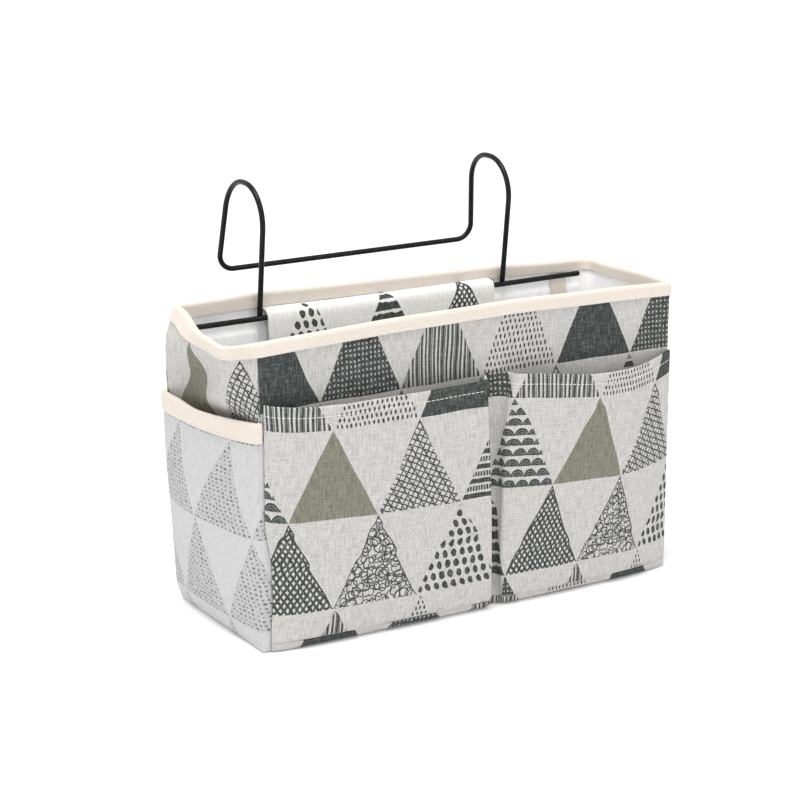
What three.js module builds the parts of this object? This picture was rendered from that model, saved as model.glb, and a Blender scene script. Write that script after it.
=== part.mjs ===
// Bedside caddy: a fabric bag with outer pockets that hangs on a bed rail from a bent wire hanger.
// Millimetres, +Z up, front towards -Y. The origin is the centre of the underside of the base.
import * as THREE from 'three';
import { mergeVertices } from 'three/addons/utils/BufferGeometryUtils.js';

// Body of the bag
const bodyWidth = 290;
const bodyDepth = 105;
const bodyHeight = 190;

// Sheet goods
const canvasThickness = 1.0;
const liningThickness = 0.8;
const tapeThickness = 0.9;
const wallBoardThickness = 1.5;
const baseBoardThickness = 2.0;
const clearance = 0.3;
const seamTrim = 0.22;

// Stiffener boards
const boardSideMargin = 6;
const boardTopMargin = 24;
const liningJogHeight = 4;

// Rim binding, and the folds of cloth that swing out at two of its corners
const rimBindingWidth = 10;
const leftFoldWidth = 22;
const rightFoldWidth = 11;
const foldSwingDegrees = 84;
const foldSteps = 10;
const softWallDivisions = 4;

// How far the rear left seam bows out beyond the base, since nothing stiffens the side wall
const bowHeights = [0, 8, 60, 100, 172];
const bowWidths = [3, 7.5, 9.5, 11.5, 11.5];
const rimBow = 4;

// Front pockets, on either side of a seam up the front wall
const frontPocketHeight = 150;
const frontPocketDepth = 12;
const pocketSeamOffset = 14.5;
const hemWidth = 12;
const pocketHeightShares = [0, 0.04, 0.1, 0.28, 0.6];
const pocketSwellShares = [0, 0.34, 0.56, 0.82, 0.95];
const leftPocketPlanShares = [[0, 0], [0.1, 0.5], [0.35, 0.82], [0.65, 0.95], [0.915, 1], [1, 0]];
const rightPocketPlanShares = [[0, 0], [0.07, 0.72], [0.35, 1], [0.65, 0.95], [0.9, 0.5], [1, 0]];

// Left side pocket
const sidePocketHeight = 137;
const sidePocketDepth = 9;
const sidePocketBindingWidth = 10;
const sidePocketPlanShares = [[0, 0], [0.2, 0.7], [0.5, 1], [0.8, 0.85], [1, 0.2]];

// Seam tape up the inside of the rear wall
const seamTapeWidth = 12;
const seamTapeFromRightWall = 11;

// Wire hanger
const wireDiameter = 3.2;
const barLength = 281;
const barBelowRim = 13;
const hangerOffset = -6;
const hookSpacing = 174;
const hookRise = 70;
const hookDepth = 49;
const hookBendRadius = 23;
const stemLean = 10;
const stemGap = 0.5;
const footDrop = 2;
const legFlare = 9;
const legDrop = 61;
const legSplay = 5;
const cornerBendRadius = 10;
const wireSides = 10;
const barSides = 12;
const wireSteps = 132;

// Sleeve that carries the bar
const sleeveWidth = 160;
const sleeveOffset = -8;
const sleeveHeight = 45;
const sleeveRunningGap = 0.4;
const sleeveWrapDegrees = 204;
const sleeveArcSegments = 7;

// Sizes that follow from those above
const halfWidth = bodyWidth / 2;
const halfDepth = bodyDepth / 2;
const wireRadius = wireDiameter / 2;
const wallBottom = canvasThickness + clearance;
const wallTop = bodyHeight - tapeThickness - clearance;
const layerInset = canvasThickness + clearance;
const boardedInset = layerInset + wallBoardThickness + clearance;
const wallBoardBottom = wallBottom + baseBoardThickness + clearance;
const wallBoardTop = bodyHeight - boardTopMargin;
const baseLiningBottom = wallBoardBottom;
const wallLiningBottom = baseLiningBottom + liningThickness + clearance;
const bindingBottom = bodyHeight - rimBindingWidth;
const bindingOuterInset = -clearance - tapeThickness;
const bindingInnerInset = layerInset + liningThickness + clearance;
const bindingInnerFace = halfDepth - bindingInnerInset - tapeThickness;
const foldStart = sidePocketHeight + clearance;
const stemY = bindingInnerFace - stemGap - wireRadius;
const barY = stemY - wireDiameter - clearance;
const barZ = bodyHeight - barBelowRim;

// Materials
const finish = (color, roughness, metalness = 0) => new THREE.MeshStandardMaterial({ color, roughness, metalness });
const printedCanvas = () => finish(0xa9a79e, 0.9);
const canvasReverse = () => finish(0xd7d8da, 0.8);
const twillTape = () => finish(0xe9dfcb, 0.85);
const coatedLining = () => finish(0xf0f0ee, 0.45);
const greyboard = () => finish(0xb7a98c, 0.9);
const blackWire = () => finish(0x101012, 0.25, 0.6);

// Heights at which the soft walls change direction. In between, the walls run straight.
const stations = bowHeights.filter((height) => height < foldStart);
for (let step = 0; step < foldSteps; step += 1) {
  stations.push(foldStart + ((bindingBottom - foldStart) * step) / foldSteps);
}
stations.push(bindingBottom, bodyHeight);

// Heights between which the lining comes out from behind the boards
const jogBottom = wallBoardTop + clearance;
const jogTop = jogBottom + liningJogHeight;
const rowHeights = [...stations, jogBottom, jogTop].sort((low, high) => low - high);

// How far a fold has swung out of its wall at a height, from 0 on the wall to the full angle at the rim.
function foldAngle(height) {
  const share = Math.max(0, (height - foldStart) / (bodyHeight - foldStart));
  return THREE.MathUtils.degToRad(foldSwingDegrees) * share;
}

// How far the rear left seam has bowed out at a height.
function bowAt(height) {
  const heights = [...bowHeights, bodyHeight];
  const widths = [...bowWidths, rimBow];
  const upper = Math.max(1, heights.findIndex((bowHeight) => bowHeight >= height));
  const share = (height - heights[upper - 1]) / (heights[upper] - heights[upper - 1]);
  return THREE.MathUtils.lerp(widths[upper - 1], widths[upper], share);
}

// Corners of the bag in plan, anticlockwise from the front left seam
const cornerNames = ['frontLeft', 'frontRight', 'rightFold', 'rearRight', 'rearLeft', 'leftFold'];

// Outer face of the bag in plan at one of the stations.
function outlineAtStation(height) {
  const angle = foldAngle(height);
  const frontLeft = new THREE.Vector2(-halfWidth, -halfDepth);
  const frontRight = new THREE.Vector2(halfWidth, -halfDepth);
  const rearRight = new THREE.Vector2(halfWidth, halfDepth);
  const rearLeft = new THREE.Vector2(-halfWidth - bowAt(height), halfDepth);
  const swing = new THREE.Vector2(Math.sin(angle), -Math.cos(angle));
  const rightFold = rearRight.clone().addScaledVector(swing, rightFoldWidth);
  const leftFold = frontLeft.clone().addScaledVector(swing, -leftFoldWidth);
  return [frontLeft, frontRight, rightFold, rearRight, rearLeft, leftFold];
}

// The same outline at any height.
function outlineAt(height) {
  const upper = Math.max(1, stations.findIndex((station) => station >= height));
  const low = stations[upper - 1];
  const high = stations[upper];
  const share = (height - low) / (high - low);
  const lowOutline = outlineAtStation(low);
  const highOutline = outlineAtStation(high);
  return lowOutline.map((point, index) => point.clone().lerp(highOutline[index], share));
}

// Moves each side of an outline inwards by its own inset and finds the new corners.
function insetOutline(outline, insets) {
  const count = outline.length;
  const normals = outline.map((point, index) => {
    const edge = outline[(index + 1) % count].clone().sub(point).normalize();
    return new THREE.Vector2(-edge.y, edge.x);
  });
  return outline.map((point, index) => {
    const before = normals[(index + count - 1) % count];
    const after = normals[index];
    const insetBefore = insets[(index + count - 1) % count];
    const insetAfter = insets[index];
    const cross = before.cross(after);
    if (Math.abs(insetBefore - insetAfter) < Number.EPSILON || Math.abs(cross) < Number.EPSILON) {
      const share = 1 / (1 + before.dot(after));
      return point.clone().addScaledVector(before.clone().add(after), insetAfter * share);
    }
    const x = (insetBefore * after.y - insetAfter * before.y) / cross;
    const y = (insetAfter * before.x - insetBefore * after.x) / cross;
    return point.clone().add(new THREE.Vector2(x, y));
  });
}

// Splits each run of a plan path into equal parts.
function divide(points, divisions) {
  const path = [points[0]];
  for (let index = 1; index < points.length; index += 1) {
    for (let part = 1; part <= divisions; part += 1) {
      path.push(points[index - 1].clone().lerp(points[index], part / divisions));
    }
  }
  return path;
}

// Plan corners of the bag at a height, with one inset for the boarded walls and one for the soft ones.
function bagCorners(height, boarded, soft = boarded) {
  return insetOutline(outlineAt(height), [boarded, soft, soft, boarded, soft, soft]);
}

// Path of one wall through its corners, stopping short of the seams at its ends. A wall with a fold is soft.
function wallPath(wallCorners) {
  const divisions = wallCorners.length > 2 ? softWallDivisions : 1;
  return (height, boarded, soft) => {
    const corners = bagCorners(height, boarded, soft);
    const path = wallCorners.map((name) => corners[cornerNames.indexOf(name)].clone());
    const [last, beforeLast] = path.slice().reverse();
    const start = path[1].clone().sub(path[0]).normalize();
    const end = beforeLast.clone().sub(last).normalize();
    path[0].addScaledVector(start, seamTrim);
    last.addScaledVector(end, seamTrim);
    return divide(path, divisions);
  };
}

// Path of a strip between two places along the front or rear wall.
function stripPath(wallSign, fromX, toX) {
  return (height, inset) => {
    const y = wallSign * (halfDepth - inset);
    return [new THREE.Vector2(fromX, y), new THREE.Vector2(toX, y)];
  };
}

// Path of the whole rim.
function rimPath(height, inset) {
  const corners = bagCorners(height, inset);
  return divide([...corners, corners[0]], softWallDivisions).slice(0, -1);
}

// Closed skin of a strip that follows a plan path. Its section is given by two lists of rows
// [height, inset, soft wall inset], one for each face, as long as each other.
function wrap(pathAt, outerRows, innerRows, closed = false) {
  const section = [...outerRows, ...innerRows.slice().reverse()];
  const rows = section.map(([height, ...insets]) => {
    return pathAt(height, ...insets).map((point) => new THREE.Vector3(point.x, point.y, height));
  });
  const columns = rows[0].length;
  const corners = [];
  const addTriangle = (a, b, c) => corners.push(a, b, c);
  const lastColumn = closed ? columns : columns - 1;
  rows.forEach((row, index) => {
    const nextIndex = (index + 1) % rows.length;
    const next = rows[nextIndex];
    const rising = section[nextIndex][0] >= section[index][0];
    for (let column = 0; column < lastColumn; column += 1) {
      const beside = (column + 1) % columns;
      if (rising) {
        addTriangle(row[column], row[beside], next[beside]);
        addTriangle(row[column], next[beside], next[column]);
      } else {
        addTriangle(row[column], row[beside], next[column]);
        addTriangle(row[beside], next[beside], next[column]);
      }
    }
  });
  if (!closed) {
    for (let index = 0; index < outerRows.length - 1; index += 1) {
      const outer = rows[index];
      const outerNext = rows[index + 1];
      const inner = rows[rows.length - 1 - index];
      const innerNext = rows[rows.length - 2 - index];
      addTriangle(outer[0], outerNext[0], innerNext[0]);
      addTriangle(outer[0], innerNext[0], inner[0]);
      addTriangle(outer[lastColumn], innerNext[lastColumn], outerNext[lastColumn]);
      addTriangle(outer[lastColumn], inner[lastColumn], innerNext[lastColumn]);
    }
  }
  const geometry = new THREE.BufferGeometry().setFromPoints(corners);
  return mergeVertices(geometry);
}

// Rows of a plain sheet at the given heights, between two insets.
function sheetRows(heights, inset) {
  return heights.map((height) => [height, inset]);
}

// Heights of the walls' rows between two heights, with both ends.
function heightsBetween(bottom, top) {
  return [bottom, ...rowHeights.filter((height) => height > bottom && height < top), top];
}

// Rows of the lining: behind the boards it lies deeper, and it comes out to the canvas above them.
function liningRows(depth) {
  return heightsBetween(wallLiningBottom, wallTop).map((height) => {
    const share = THREE.MathUtils.clamp((height - jogBottom) / liningJogHeight, 0, 1);
    return [height, THREE.MathUtils.lerp(boardedInset, layerInset, share) + depth, layerInset + depth];
  });
}

const caddy = new THREE.Group();

function add(name, geometry, material) {
  geometry.deleteAttribute('normal');
  geometry.deleteAttribute('uv');
  const mesh = new THREE.Mesh(mergeVertices(geometry), material);
  mesh.geometry.computeVertexNormals();
  mesh.name = name;
  caddy.add(mesh);
  return mesh;
}

// The corners that each of the four walls runs through
const walls = {
  front: ['frontLeft', 'frontRight'],
  right_side: ['frontRight', 'rightFold', 'rearRight'],
  rear: ['rearRight', 'rearLeft'],
  left_side: ['rearLeft', 'leftFold', 'frontLeft'],
};

// Outer canvas
const panelHeights = heightsBetween(wallBottom, wallTop);
Object.entries(walls).forEach(([wall, wallCorners]) => {
  const outerFace = sheetRows(panelHeights, 0);
  const innerFace = sheetRows(panelHeights, canvasThickness);
  add(`${wall}_panel`, wrap(wallPath(wallCorners), outerFace, innerFace), printedCanvas());
});
const basePanel = add('base_panel', new THREE.BoxGeometry(bodyWidth, bodyDepth, canvasThickness), printedCanvas());
basePanel.position.z = canvasThickness / 2;

// Boards in the front wall, the rear wall and the base
const boardEnd = halfWidth - boardSideMargin;
[['front_board', -1], ['rear_board', 1]].forEach(([name, wallSign]) => {
  const path = stripPath(wallSign, wallSign * boardEnd, -wallSign * boardEnd);
  const outerFace = sheetRows([wallBoardBottom, wallBoardTop], layerInset);
  const innerFace = sheetRows([wallBoardBottom, wallBoardTop], layerInset + wallBoardThickness);
  add(name, wrap(path, outerFace, innerFace), greyboard());
});
const baseBoardWidth = bodyWidth - 2 * layerInset;
const baseBoardDepth = bodyDepth - 2 * layerInset;
const baseBoard = add('base_board', new THREE.BoxGeometry(baseBoardWidth, baseBoardDepth, baseBoardThickness), greyboard());
baseBoard.position.z = wallBottom + baseBoardThickness / 2;

// Lining
Object.entries(walls).forEach(([wall, wallCorners]) => {
  const geometry = wrap(wallPath(wallCorners), liningRows(0), liningRows(liningThickness));
  add(`${wall}_lining`, geometry, coatedLining());
});
const baseLiningWidth = bodyWidth - 2 * layerInset;
const baseLiningDepth = bodyDepth - 2 * boardedInset;
const baseLining = add('base_lining', new THREE.BoxGeometry(baseLiningWidth, baseLiningDepth, liningThickness), coatedLining());
baseLining.position.z = baseLiningBottom + liningThickness / 2;

// Tape that binds the rim, over the edges of the canvas and the lining
const bindingOuterRows = [
  [bindingBottom, bindingOuterInset],
  [bodyHeight, bindingOuterInset],
  [bodyHeight, bindingInnerInset + tapeThickness],
  [bindingBottom, bindingInnerInset + tapeThickness],
];
const bindingInnerRows = [
  [bindingBottom, -clearance],
  [bodyHeight - tapeThickness, -clearance],
  [bodyHeight - tapeThickness, bindingInnerInset],
  [bindingBottom, bindingInnerInset],
];
add('rim_binding', wrap(rimPath, bindingOuterRows, bindingInnerRows, true), twillTape());

// Path of a pocket, which is flat against its wall at the bottom and swells towards its mouth. Its plan
// shares give places along the wall and how far the cloth stands off there, and place puts them in plan.
function pocketPath({ width, top, depth, standOff, planShares, place }) {
  const swellHeights = [...pocketHeightShares, 1].map((share) => wallBottom + share * (top - wallBottom));
  const swellShares = [...pocketSwellShares, 1];
  return (height, inset) => {
    const level = Math.min(height, top);
    const upper = Math.max(1, swellHeights.findIndex((swellHeight) => swellHeight >= level));
    const share = (level - swellHeights[upper - 1]) / (swellHeights[upper] - swellHeights[upper - 1]);
    const swell = THREE.MathUtils.lerp(swellShares[upper - 1], swellShares[upper], share);
    const root = clearance + canvasThickness + (standOff * level) / top;
    return planShares.map(([along, out]) => place(along * width, root + out * depth * swell - inset, level));
  };
}

// Rows of a pocket's cloth up to a height, with those where its wall changes direction.
function pocketHeights(top, wallHeights = []) {
  const ownHeights = [...pocketHeightShares, 1].map((share) => wallBottom + share * (top - wallBottom));
  const between = wallHeights.filter((height) => height > wallBottom && height < top);
  return [...ownHeights, ...between].sort((low, high) => low - high);
}

// Front pockets, with their mouths turned inwards to a hem
function addFrontPocket(name, fromX, toX, planShares) {
  const hemBottom = frontPocketHeight - hemWidth;
  const path = pocketPath({
    width: toX - fromX,
    top: hemBottom,
    depth: frontPocketDepth,
    standOff: canvasThickness,
    planShares,
    place: (along, out) => new THREE.Vector2(fromX + along, -halfDepth - out),
  });
  const heights = pocketHeights(hemBottom);
  const outerFace = [...sheetRows(heights, 0), [hemBottom, 0], [frontPocketHeight, 0]];
  const innerFace = [
    ...sheetRows(heights, canvasThickness),
    [hemBottom, 2 * canvasThickness],
    [frontPocketHeight, 2 * canvasThickness],
  ];
  add(name, wrap(path, outerFace, innerFace), printedCanvas());
}
addFrontPocket('front_pocket_left', -halfWidth, pocketSeamOffset - clearance / 2, leftPocketPlanShares);
addFrontPocket('front_pocket_right', pocketSeamOffset + clearance / 2, halfWidth, rightPocketPlanShares);

// Left side pocket and the tape over its mouth
const sidePocketTop = sidePocketHeight - tapeThickness - clearance;
const sidePocketBindingBottom = sidePocketHeight - sidePocketBindingWidth;
const sidePocketPath = pocketPath({
  width: bodyDepth,
  top: sidePocketBindingBottom,
  depth: sidePocketDepth,
  standOff: tapeThickness + clearance,
  planShares: sidePocketPlanShares,
  place: (along, out, height) => {
    const bow = bowAt(height) * Math.max(0, 1 - along / (bodyDepth - leftFoldWidth));
    return new THREE.Vector2(-halfWidth - bow - out, halfDepth - along);
  },
});
const sidePocketHeights = [...pocketHeights(sidePocketBindingBottom, bowHeights), sidePocketTop];
const sidePocketSheet = wrap(
  sidePocketPath,
  sheetRows(sidePocketHeights, 0),
  sheetRows(sidePocketHeights, canvasThickness),
);
add('left_side_pocket', sidePocketSheet, canvasReverse());
const pocketBindingOuterRows = [
  [sidePocketBindingBottom, -clearance - tapeThickness],
  [sidePocketHeight, -clearance - tapeThickness],
  [sidePocketHeight, canvasThickness + clearance + tapeThickness],
  [sidePocketBindingBottom, canvasThickness + clearance + tapeThickness],
];
const pocketBindingInnerRows = [
  [sidePocketBindingBottom, -clearance],
  [sidePocketHeight - tapeThickness, -clearance],
  [sidePocketHeight - tapeThickness, canvasThickness + clearance],
  [sidePocketBindingBottom, canvasThickness + clearance],
];
add('side_pocket_binding', wrap(sidePocketPath, pocketBindingOuterRows, pocketBindingInnerRows), twillTape());

// Tape over the seam inside the rear wall
const seamTapeRight = halfWidth - seamTapeFromRightWall;
const seamTapeFace = (depth) => {
  const liningFace = boardedInset + liningThickness + clearance;
  const upperFace = layerInset + liningThickness + clearance;
  return [
    [wallLiningBottom, liningFace + depth],
    [jogBottom, liningFace + depth],
    [jogTop, upperFace + depth],
    [bindingBottom - clearance, upperFace + depth],
  ];
};
const seamTapePath = stripPath(1, seamTapeRight, seamTapeRight - seamTapeWidth);
add('rear_seam_tape', wrap(seamTapePath, seamTapeFace(0), seamTapeFace(tapeThickness)), twillTape());

// Sleeve: a strip sewn to the rear wall under the rim, which goes round the bar and back to the wall
function sleeveGeometry() {
  const upperFace = halfDepth - layerInset - liningThickness - clearance;
  const lowerFace = halfDepth - boardedInset - liningThickness - clearance;
  const innerRadius = wireRadius + sleeveRunningGap;
  const wrapEnd = THREE.MathUtils.degToRad(sleeveWrapDegrees);
  const faceLine = (radius, depth) => {
    const line = [new THREE.Vector2(upperFace, barZ + radius)];
    for (let step = 0; step <= sleeveArcSegments; step += 1) {
      const angle = THREE.MathUtils.lerp(Math.PI / 2, wrapEnd, step / sleeveArcSegments);
      line.push(new THREE.Vector2(barY + radius * Math.cos(angle), barZ + radius * Math.sin(angle)));
    }
    const leave = line[line.length - 1];
    const fall = (lowerFace - depth - leave.x) * Math.cos(wrapEnd) / -Math.sin(wrapEnd);
    line.push(new THREE.Vector2(lowerFace - depth, leave.y + fall));
    line.push(new THREE.Vector2(lowerFace - depth, bindingBottom - sleeveHeight));
    return line;
  };
  const section = [...faceLine(innerRadius, 0), ...faceLine(innerRadius + canvasThickness, canvasThickness).reverse()];
  const geometry = new THREE.ExtrudeGeometry(new THREE.Shape(section), { depth: sleeveWidth, bevelEnabled: false });
  const toWall = new THREE.Matrix4().makeBasis(
    new THREE.Vector3(0, 1, 0),
    new THREE.Vector3(0, 0, 1),
    new THREE.Vector3(1, 0, 0),
  );
  return geometry.applyMatrix4(toWall);
}
const sleeve = add('hanger_sleeve', sleeveGeometry(), printedCanvas());
sleeve.position.x = sleeveOffset - sleeveWidth / 2;

// Path of straight runs with a round bend at each inner corner
function bentPath(corners, radii) {
  const path = new THREE.CurvePath();
  let start = corners[0];
  radii.forEach((radius, index) => {
    const corner = corners[index + 1];
    const back = corners[index].clone().sub(corner).normalize();
    const onward = corners[index + 2].clone().sub(corner).normalize();
    const turn = Math.PI - back.angleTo(onward);
    const reach = radius * Math.tan(turn / 2);
    const handle = radius * Math.tan(turn / 4) * (4 / 3);
    const enter = corner.clone().addScaledVector(back, reach);
    const leave = corner.clone().addScaledVector(onward, reach);
    const enterHandle = enter.clone().addScaledVector(back, -handle);
    const leaveHandle = leave.clone().addScaledVector(onward, -handle);
    path.add(new THREE.LineCurve3(start, enter));
    path.add(new THREE.CubicBezierCurve3(enter, enterHandle, leaveHandle, leave));
    start = leave;
  });
  path.add(new THREE.LineCurve3(start, corners[corners.length - 1]));
  return path;
}

// Hook wire: up from the bar, over the left hook, along the cross piece and back over the right hook
function hookWireGeometry() {
  const apexZ = bodyHeight + hookRise - wireRadius;
  const footY = stemY + (stemLean * footDrop) / (apexZ - barZ);
  const frontY = stemY - stemLean;
  const rearY = frontY + hookDepth;
  const side = (sign) => {
    const x = sign * (hookSpacing / 2 + wireRadius);
    return [
      new THREE.Vector3(x, footY, barZ - footDrop),
      new THREE.Vector3(x, frontY, apexZ),
      new THREE.Vector3(x, rearY, apexZ),
      new THREE.Vector3(x + sign * legSplay, rearY + legFlare, apexZ - legDrop),
    ];
  };
  const corners = [...side(-1), ...side(1).reverse()];
  const hookRadii = [hookBendRadius, hookBendRadius, cornerBendRadius];
  const round = [];
  for (let index = 0; index < wireSides; index += 1) {
    const angle = (2 * Math.PI * index) / wireSides;
    round.push(new THREE.Vector2(wireRadius * Math.cos(angle), wireRadius * Math.sin(angle)));
  }
  return new THREE.ExtrudeGeometry(new THREE.Shape(round), {
    steps: wireSteps,
    extrudePath: bentPath(corners, [...hookRadii, ...hookRadii.slice().reverse()]),
  });
}
const hookWire = add('hook_wire', hookWireGeometry(), blackWire());
hookWire.position.x = hangerOffset;

// Bar, which turns in the sleeve
const crossBar = add('cross_bar', new THREE.CylinderGeometry(wireRadius, wireRadius, barLength, barSides), blackWire());
crossBar.rotation.z = Math.PI / 2;
crossBar.position.set(0, barY, barZ);

export default caddy;
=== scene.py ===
import math
from types import SimpleNamespace

import bpy
from mathutils import Matrix, Vector, noise


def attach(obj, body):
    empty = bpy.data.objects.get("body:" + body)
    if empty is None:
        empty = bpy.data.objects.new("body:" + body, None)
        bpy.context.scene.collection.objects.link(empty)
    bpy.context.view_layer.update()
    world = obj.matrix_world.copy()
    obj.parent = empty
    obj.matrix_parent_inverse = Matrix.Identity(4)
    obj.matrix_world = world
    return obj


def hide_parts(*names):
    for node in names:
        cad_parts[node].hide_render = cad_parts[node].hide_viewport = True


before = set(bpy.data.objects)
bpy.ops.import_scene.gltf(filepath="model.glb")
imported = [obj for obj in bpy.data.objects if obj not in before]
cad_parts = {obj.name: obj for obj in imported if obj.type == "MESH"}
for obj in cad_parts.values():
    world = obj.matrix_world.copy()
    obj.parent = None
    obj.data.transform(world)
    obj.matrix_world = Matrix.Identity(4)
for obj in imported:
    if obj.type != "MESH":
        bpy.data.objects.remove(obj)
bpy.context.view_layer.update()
bpy.context.scene.view_settings.view_transform = "Standard"


# Camera, light and floor
view = {
    "azimuth": -29.654, "elevation": 16.664, "roll": -0.219,
    "distance": 1.42303, "lens": 101.29, "sensor": 36,
    "aimHeight": 0.095, "aimAcross": -0.0189, "aimUp": 0.02504,
}


def makeCamera():
    azimuth, elevation = math.radians(view["azimuth"]), math.radians(view["elevation"])
    level = math.cos(elevation)
    back = Vector((math.sin(azimuth) * level, -math.cos(azimuth) * level, math.sin(elevation)))
    right = (-back).cross(Vector((0, 0, 1))).normalized()
    up = right.cross(-back)
    turn = math.radians(view["roll"])
    right, up = (math.cos(turn) * right + math.sin(turn) * up,
                 math.cos(turn) * up - math.sin(turn) * right)
    aim = Vector((0, 0, view["aimHeight"])) + right * view["aimAcross"] + up * view["aimUp"]
    axes = Matrix((right, up, back)).transposed()
    bpy.ops.object.camera_add(location=aim + back * view["distance"], rotation=axes.to_euler())
    camera = bpy.context.object
    camera.data.lens = view["lens"]
    camera.data.sensor_width = view["sensor"]
    bpy.context.scene.camera = camera


studio = {
    "floorSize": 14.0, "floorColour": (0.96, 0.96, 0.96, 1), "floorRoughness": 0.9, "floorGlow": 0.08,
    "floorDrop": 0.0002, "lightAim": (0, 0, 0.1),
    "worldColour": (1, 1, 1, 1), "worldStrength": 0.92,
    "keyPlace": (0.7, -1.9, 2.2), "keySize": 1.3, "keyPower": 8,
    "topPlace": (-0.3, -0.2, 1.9), "topSize": 0.9, "topPower": 21,
    "fillPlace": (-1.9, -0.8, 1.5), "fillSize": 1.8, "fillPower": 6,
}


def addLight(name, place, size, power):
    bpy.ops.object.light_add(type="AREA", location=place)
    light = bpy.context.object
    light.name = name
    light.data.shape = "DISK"
    light.data.size = size
    light.data.energy = power
    towards = Vector(studio["lightAim"]) - Vector(place)
    light.rotation_euler = towards.to_track_quat("-Z", "Y").to_euler()


def makeStudio():
    bpy.ops.object.select_all(action="DESELECT")
    bpy.ops.mesh.primitive_plane_add(size=studio["floorSize"], location=(0, 0, -studio["floorDrop"]))
    floor = bpy.context.object
    floor.name = "floor"
    paint = bpy.data.materials.new("floorPaint")
    paint.use_nodes = True
    sockets = paint.node_tree.nodes["Principled BSDF"].inputs
    sockets["Base Color"].default_value = studio["floorColour"]
    sockets["Roughness"].default_value = studio["floorRoughness"]
    sockets["Emission Color"].default_value = studio["worldColour"]
    sockets["Emission Strength"].default_value = studio["floorGlow"]
    floor.data.materials.append(paint)
    world = bpy.data.worlds.new("paleRoom")
    world.use_nodes = True
    sockets = world.node_tree.nodes["Background"].inputs
    sockets["Color"].default_value = studio["worldColour"]
    sockets["Strength"].default_value = studio["worldStrength"]
    bpy.context.scene.world = world
    for kind in ("key", "fill", "top"):
        addLight(kind + "Light", studio[kind + "Place"], studio[kind + "Size"], studio[kind + "Power"])


makeCamera()
makeStudio()
print("camera and studio are up")


# Small sums that the cloth pieces share
def mix(low, high, share):
    return low + (high - low) * share


def clamp(value, low=0.0, high=1.0):
    return max(low, min(high, value))


def ease(low, high, value):
    share = clamp((value - low) / (high - low))
    return share * share * (3 - 2 * share)


def readOff(table, place):
    # table holds (place, value) pairs in order
    for (low, lowValue), (high, highValue) in zip(table, table[1:]):
        if place <= high:
            return mix(lowValue, highValue, clamp((place - low) / (high - low)))
    return table[-1][1]


def smoothOff(table, place, reach):
    return sum(readOff(table, place + reach * step / 4) for step in range(-4, 5)) / 9


def throughPoints(points, stepsEach=10):
    # a smooth line through the points
    line = []
    for index in range(len(points) - 1):
        before = points[max(0, index - 1)]
        start, end = points[index], points[index + 1]
        after = points[min(len(points) - 1, index + 2)]
        for step in range(stepsEach):
            t = step / stepsEach
            line.append(0.5 * (2 * start + (end - before) * t
                               + (2 * before - 5 * start + 4 * end - after) * t * t
                               + (3 * start - before - 3 * end + after) * t * t * t))
    return line + [points[-1]]


def roundCorners(points, cuts, closed=False, turnSteps=8):
    # each corner is taken off by a curve that starts its cut before the corner
    count = len(points)
    line = []
    for index, (corner, cut) in enumerate(zip(points, cuts)):
        atEnd = not closed and index in (0, count - 1)
        if atEnd or cut <= 0:
            line.append(corner.copy())
            continue
        toBefore, toAfter = points[index - 1] - corner, points[(index + 1) % count] - corner
        start = corner + toBefore.normalized() * min(cut, toBefore.length * 0.45)
        end = corner + toAfter.normalized() * min(cut, toAfter.length * 0.45)
        for step in range(turnSteps + 1):
            t = step / turnSteps
            line.append(start * (1 - t) ** 2 + corner * 2 * t * (1 - t) + end * t * t)
    if closed:
        line.append(line[0].copy())
    return line


def spread(line, count, pull=0.0):
    # count + 1 places along a line. pull draws them towards its ends.
    lengths = [0.0]
    for start, end in zip(line, line[1:]):
        lengths.append(lengths[-1] + (end - start).length)
    places, at = [], 0
    for step in range(count + 1):
        share = step / count
        share -= pull * math.sin(2 * math.pi * share) / (2 * math.pi)
        target = share * lengths[-1]
        while at < len(line) - 2 and lengths[at + 1] < target:
            at += 1
        run = lengths[at + 1] - lengths[at]
        places.append(line[at].lerp(line[at + 1], clamp((target - lengths[at]) / run if run > 0 else 0)))
    return places


def sidestep(line, distance):
    # moves a plan line to its left, which is inwards for a wall that runs anticlockwise
    moved = []
    for index, point in enumerate(line):
        run = line[min(index + 1, len(line) - 1)] - line[max(index - 1, 0)]
        side = Vector((-run.y, run.x)).normalized() if run.length > 0 else Vector((0, 0))
        moved.append(point + side * distance)
    return moved


# The bag's form, which all its cloth follows
bag = {
    "width": 0.290, "depth": 0.105, "height": 0.190,
    "canvas": 0.0009, "lining": 0.0007, "tape": 0.0009, "board": 0.0015, "gap": 0.0003,
    "layer": 0.0010,
    "foldStart": 0.1373, "foldSwing": 84.0, "leftFold": 0.022, "rightFold": 0.011,
    "foldRounding": 0.009, "boardTop": 0.166,
    "bow": [(0, 0.003), (0.008, 0.0075), (0.060, 0.0095), (0.100, 0.0115), (0.172, 0.0115), (0.190, 0.004)],
    "rearLift": [(-0.145, 0.0012), (-0.09, 0.0022), (-0.02, 0.0), (0.05, -0.0012), (0.10, -0.003), (0.145, -0.0055)],
    "frontLift": [(-0.145, 0.0), (-0.12, 0.0015), (-0.09, 0.0026), (-0.03, 0.0036), (0.03, 0.0040),
                  (0.09, 0.0025), (0.145, 0.0007)],
    "sideWave": 0.0045, "sideSlack": 0.0016, "rightWave": 0.0022, "rightSlack": 0.0013,
    "rimWave": 0.0006, "rimWaveLength": 0.083,
}
halfWidth, halfDepth = bag["width"] / 2, bag["depth"] / 2
layerInset = bag["layer"] + bag["gap"]
boardedInset = layerInset + bag["board"] + bag["gap"]
cornerNames = ["frontLeft", "frontRight", "rightFold", "rearRight", "rearLeft", "leftFold"]
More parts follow.
